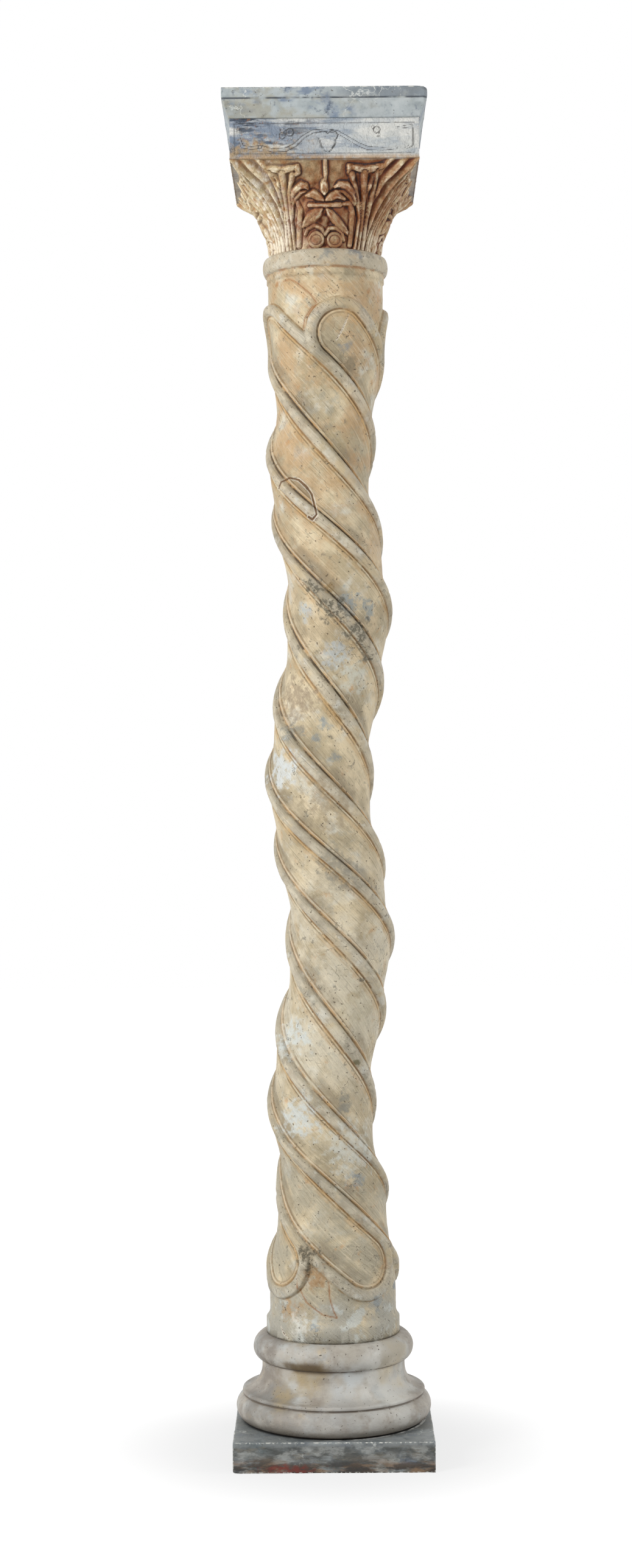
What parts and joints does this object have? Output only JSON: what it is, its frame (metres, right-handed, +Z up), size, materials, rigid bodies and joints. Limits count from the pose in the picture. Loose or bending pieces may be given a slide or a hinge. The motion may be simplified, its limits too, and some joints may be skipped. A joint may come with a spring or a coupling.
{
  "type": "solomonic column",
  "caption": "Marble column with a twisted, ribbed shaft on a turned base and square plinth, under a leaf-carved capital and square abacus.",
  "frame": {"origin": "middle of the plinth's underside", "axes": "+Z up the column, the pictured front towards -Y"},
  "size_m": [0.316, 0.316, 2.12],
  "materials": {
    "grey_marble": "weathered blue-grey marble",
    "base_marble": "weathered warm grey marble",
    "shaft_marble": "weathered cream and grey marble, honey stains",
    "capital_marble": "weathered beige marble, rust-brown in the recesses",
    "dowel_iron": "forged iron, rusted"
  },
  "bodies": {
    "root": {"plinth": "grey_marble", "base": "base_marble", "shaft": "shaft_marble", "capital": "capital_marble", "abacus": "grey_marble", "base_dowel": "dowel_iron", "neck_dowel": "dowel_iron"}
  },
  "joints": []
}
